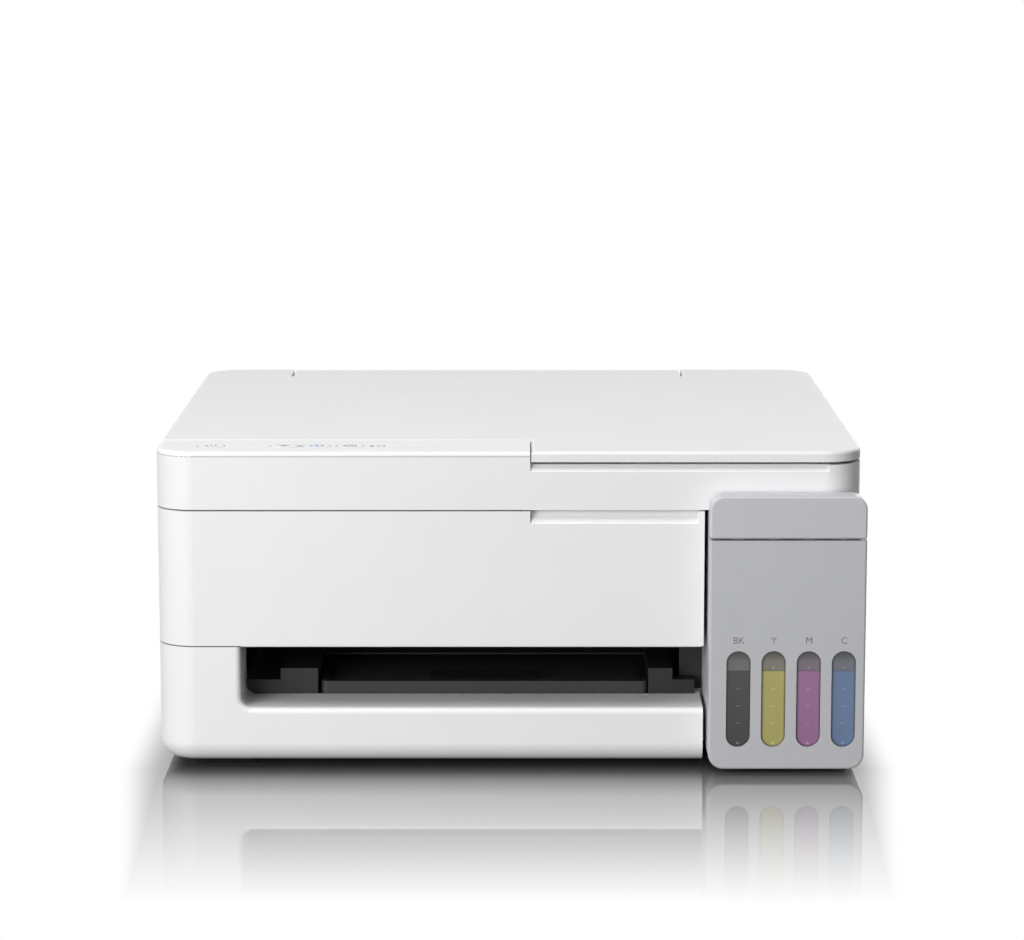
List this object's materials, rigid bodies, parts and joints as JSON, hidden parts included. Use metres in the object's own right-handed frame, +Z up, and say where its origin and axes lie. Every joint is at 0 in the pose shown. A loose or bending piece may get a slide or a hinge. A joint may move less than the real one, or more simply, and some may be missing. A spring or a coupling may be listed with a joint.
{
  "type": "inkjet printer",
  "caption": "White inkjet printer with a flatbed scanner, front ink tanks with level windows, a rear sheet feeder and a front output tray.",
  "frame": {"origin": "under the middle of the whole printer, on the surface it stands on", "axes": "+X to the printer's right as its user faces it, +Y to its back, +Z up"},
  "size_m": [0.375, 0.347, 0.172],
  "materials": {
    "white_plastic": "satin white",
    "grey_plastic": "satin mid grey",
    "cover_plastic": "satin light grey",
    "black_plastic": "fine matte black",
    "dark_plastic": "matte dark grey",
    "ink_plastic": "clear wall over dark ink",
    "tube_plastic": "soft translucent tube",
    "yellow_plastic": "satin yellow",
    "magenta_plastic": "satin magenta",
    "cyan_plastic": "satin cyan",
    "rubber": "matte",
    "glass": "clear polished",
    "steel": "ground",
    "sheet_steel": "plated sheet",
    "circuit_board": "solder mask",
    "button_plastic": "satin pale grey",
    "light_pipe": "clear",
    "pad_foam": "soft foam",
    "brass": "machined",
    "gear_plastic": "natural acetal",
    "clear_film": "clear film with fine lines",
    "roller_metal": "coated shaft"
  },
  "bodies": {
    "base": {"base_case": "white_plastic", "upper_case": "white_plastic", "rubber_feet": "rubber", "tank_housing": "grey_plastic", "ink_tanks": "ink_plastic", "ink_tubes": "tube_plastic", "hinge_posts": "dark_plastic", "feeder_frame": "white_plastic", "exit_frame": "black_plastic", "main_frame": "sheet_steel", "guide_shaft": "steel", "drive_motors": "sheet_steel", "roller_holders": "black_plastic", "platen": "black_plastic", "cap_station": "black_plastic", "waste_ink_pad": "pad_foam", "encoder_strip": "clear_film", "main_board": "circuit_board", "power_supply": "black_plastic", "timing_belt": "rubber"},
    "scanner": {"scanner_tub": "white_plastic", "glass_frame": "dark_plastic", "scanner_glass": "glass", "sensor_rail": "steel", "panel_board": "circuit_board", "control_panel": "white_plastic", "indicator_light": "light_pipe"},
    "lid": {"document_lid": "white_plastic", "lid_pad": "pad_foam"},
    "sensor": {"image_sensor": "black_plastic"},
    "support": {"paper_support": "white_plastic"},
    "support_leaf": {"support_extension": "grey_plastic"},
    "guide_left": {"edge_guide_left": "grey_plastic"},
    "guide_right": {"edge_guide_right": "grey_plastic"},
    "pickup": {"pickup_roller": "rubber"},
    "tray": {"output_tray": "dark_plastic"},
    "tray_leaf": {"tray_extension": "black_plastic"},
    "stopper": {"tray_stopper": "dark_plastic"},
    "cover": {"tank_cover": "cover_plastic"},
    "carriage": {"print_carriage": "black_plastic", "print_head": "dark_plastic"},
    "pulley_drive": {"drive_pulley": "brass"},
    "pulley_tension": {"tension_pulley": "gear_plastic"},
    "feed": {"feed_roller": "roller_metal"},
    "eject": {"eject_roller": "dark_plastic"},
    "idler": {"idler_gear": "gear_plastic"},
    "pinion": {"motor_pinion": "brass"},
    "pinch": {"pinch_rollers": "dark_plastic"},
    "stars": {"star_wheels": "sheet_steel"},
    "power_key": {"power_button": "button_plastic"},
    "wireless_key": {"wireless_button": "button_plastic"},
    "status_key": {"status_button": "button_plastic"},
    "stop_key": {"stop_button": "button_plastic"},
    "black_cap": {"ink_cap_black": "black_plastic"},
    "yellow_cap": {"ink_cap_yellow": "yellow_plastic"},
    "magenta_cap": {"ink_cap_magenta": "magenta_plastic"},
    "cyan_cap": {"ink_cap_cyan": "cyan_plastic"}
  },
  "joints": [
    {"name": "scanner_hinge", "type": "hinge", "parent": "base", "child": "scanner", "pos_m": [0, 0.1703, 0.1672], "axis": [1, 0, 0], "range_deg": [-30, 0]},
    {"name": "lid_hinge", "type": "hinge", "parent": "scanner", "child": "lid", "pos_m": [0, 0.1703, 0.1672], "axis": [-1, 0, 0], "range_deg": [0, 75]},
    {"name": "sensor_slide", "type": "slide", "parent": "scanner", "child": "sensor", "axis": [1, 0, 0], "range_m": [0, 0.285]},
    {"name": "support_slide", "type": "slide", "parent": "base", "child": "support", "axis": [0, -0.4226, -0.9063], "range_m": [-0.08, 0]},
    {"name": "support_leaf_slide", "type": "slide", "parent": "support", "child": "support_leaf", "axis": [0, -0.4226, -0.9063], "range_m": [-0.07, 0]},
    {"name": "guide_left_slide", "type": "slide", "parent": "base", "child": "guide_left", "axis": [1, 0, 0], "range_m": [0, 0.055]},
    {"name": "guide_right_slide", "type": "slide", "parent": "base", "child": "guide_right", "axis": [-1, 0, 0], "range_m": [0, 0.055]},
    {"name": "pickup_spin", "type": "hinge", "parent": "base", "child": "pickup", "pos_m": [0, 0.103, 0.068], "axis": [1, 0, 0], "continuous": true},
    {"name": "tray_slide", "type": "slide", "parent": "base", "child": "tray", "axis": [0, -1, 0], "range_m": [0, 0.075]},
    {"name": "tray_leaf_slide", "type": "slide", "parent": "tray", "child": "tray_leaf", "axis": [0, -1, 0], "range_m": [0, 0.06]},
    {"name": "stopper_hinge", "type": "hinge", "parent": "tray_leaf", "child": "stopper", "pos_m": [0, -0.1165, 0.03925], "axis": [1, 0, 0], "range_deg": [0, 95]},
    {"name": "cover_hinge", "type": "hinge", "parent": "base", "child": "cover", "pos_m": [0.1856, -0.1665, 0.1296], "axis": [0, 1, 0], "range_deg": [0, 95]},
    {"name": "carriage_slide", "type": "slide", "parent": "base", "child": "carriage", "axis": [-1, 0, 0], "range_m": [0, 0.236], "deforming": ["ink_tubes"]},
    {"name": "drive_pulley_spin", "type": "hinge", "parent": "base", "child": "pulley_drive", "pos_m": [0.16, 0.063, 0.115], "axis": [0, 1, 0], "continuous": true},
    {"name": "tension_pulley_spin", "type": "hinge", "parent": "base", "child": "pulley_tension", "pos_m": [-0.1285, 0.063, 0.115], "axis": [0, 1, 0], "continuous": true},
    {"name": "feed_spin", "type": "hinge", "parent": "base", "child": "feed", "pos_m": [0, 0.062, 0.05], "axis": [1, 0, 0], "continuous": true},
    {"name": "eject_spin", "type": "hinge", "parent": "base", "child": "eject", "pos_m": [0, -0.015, 0.05], "axis": [1, 0, 0], "continuous": true},
    {"name": "idler_spin", "type": "hinge", "parent": "base", "child": "idler", "pos_m": [-0.1466, 0.0235, 0.05], "axis": [1, 0, 0], "continuous": true},
    {"name": "pinion_spin", "type": "hinge", "parent": "base", "child": "pinion", "pos_m": [-0.1466, 0.0745, 0.07165], "axis": [1, 0, 0], "continuous": true},
    {"name": "pinch_spin", "type": "hinge", "parent": "base", "child": "pinch", "pos_m": [0, 0.062, 0.0598], "axis": [1, 0, 0], "continuous": true},
    {"name": "star_spin", "type": "hinge", "parent": "base", "child": "stars", "pos_m": [0, -0.015, 0.0603], "axis": [1, 0, 0], "continuous": true},
    {"name": "power_press", "type": "slide", "parent": "scanner", "child": "power_key", "axis": [0, 0, -1], "range_m": [0, 0.0006], "stiffness_N_per_m": 1000},
    {"name": "wireless_press", "type": "slide", "parent": "scanner", "child": "wireless_key", "axis": [0, 0, -1], "range_m": [0, 0.0006], "stiffness_N_per_m": 1000},
    {"name": "status_press", "type": "slide", "parent": "scanner", "child": "status_key", "axis": [0, 0, -1], "range_m": [0, 0.0006], "stiffness_N_per_m": 1000},
    {"name": "stop_press", "type": "slide", "parent": "scanner", "child": "stop_key", "axis": [0, 0, -1], "range_m": [0, 0.0006], "stiffness_N_per_m": 1000},
    {"name": "black_cap_pull", "type": "slide", "parent": "base", "child": "black_cap", "axis": [0, 0, 1], "range_m": [0, 0.009]},
    {"name": "yellow_cap_pull", "type": "slide", "parent": "base", "child": "yellow_cap", "axis": [0, 0, 1], "range_m": [0, 0.009]},
    {"name": "magenta_cap_pull", "type": "slide", "parent": "base", "child": "magenta_cap", "axis": [0, 0, 1], "range_m": [0, 0.009]},
    {"name": "cyan_cap_pull", "type": "slide", "parent": "base", "child": "cyan_cap", "axis": [0, 0, 1], "range_m": [0, 0.009]}
  ],
  "couplings": [
    {"joint": "guide_right_slide", "follows": "guide_left_slide", "ratio": 1},
    {"joint": "drive_pulley_spin", "follows": "carriage_slide", "rad_per_m": 149.25},
    {"joint": "tension_pulley_spin", "follows": "carriage_slide", "rad_per_m": 149.25},
    {"joint": "eject_spin", "follows": "feed_spin", "ratio": 1},
    {"joint": "idler_spin", "follows": "feed_spin", "ratio": -0.87805},
    {"joint": "pinion_spin", "follows": "feed_spin", "ratio": -2.5714},
    {"joint": "pinch_spin", "follows": "feed_spin", "ratio": -1.7143},
    {"joint": "star_spin", "follows": "feed_spin", "ratio": -1.5}
  ]
}
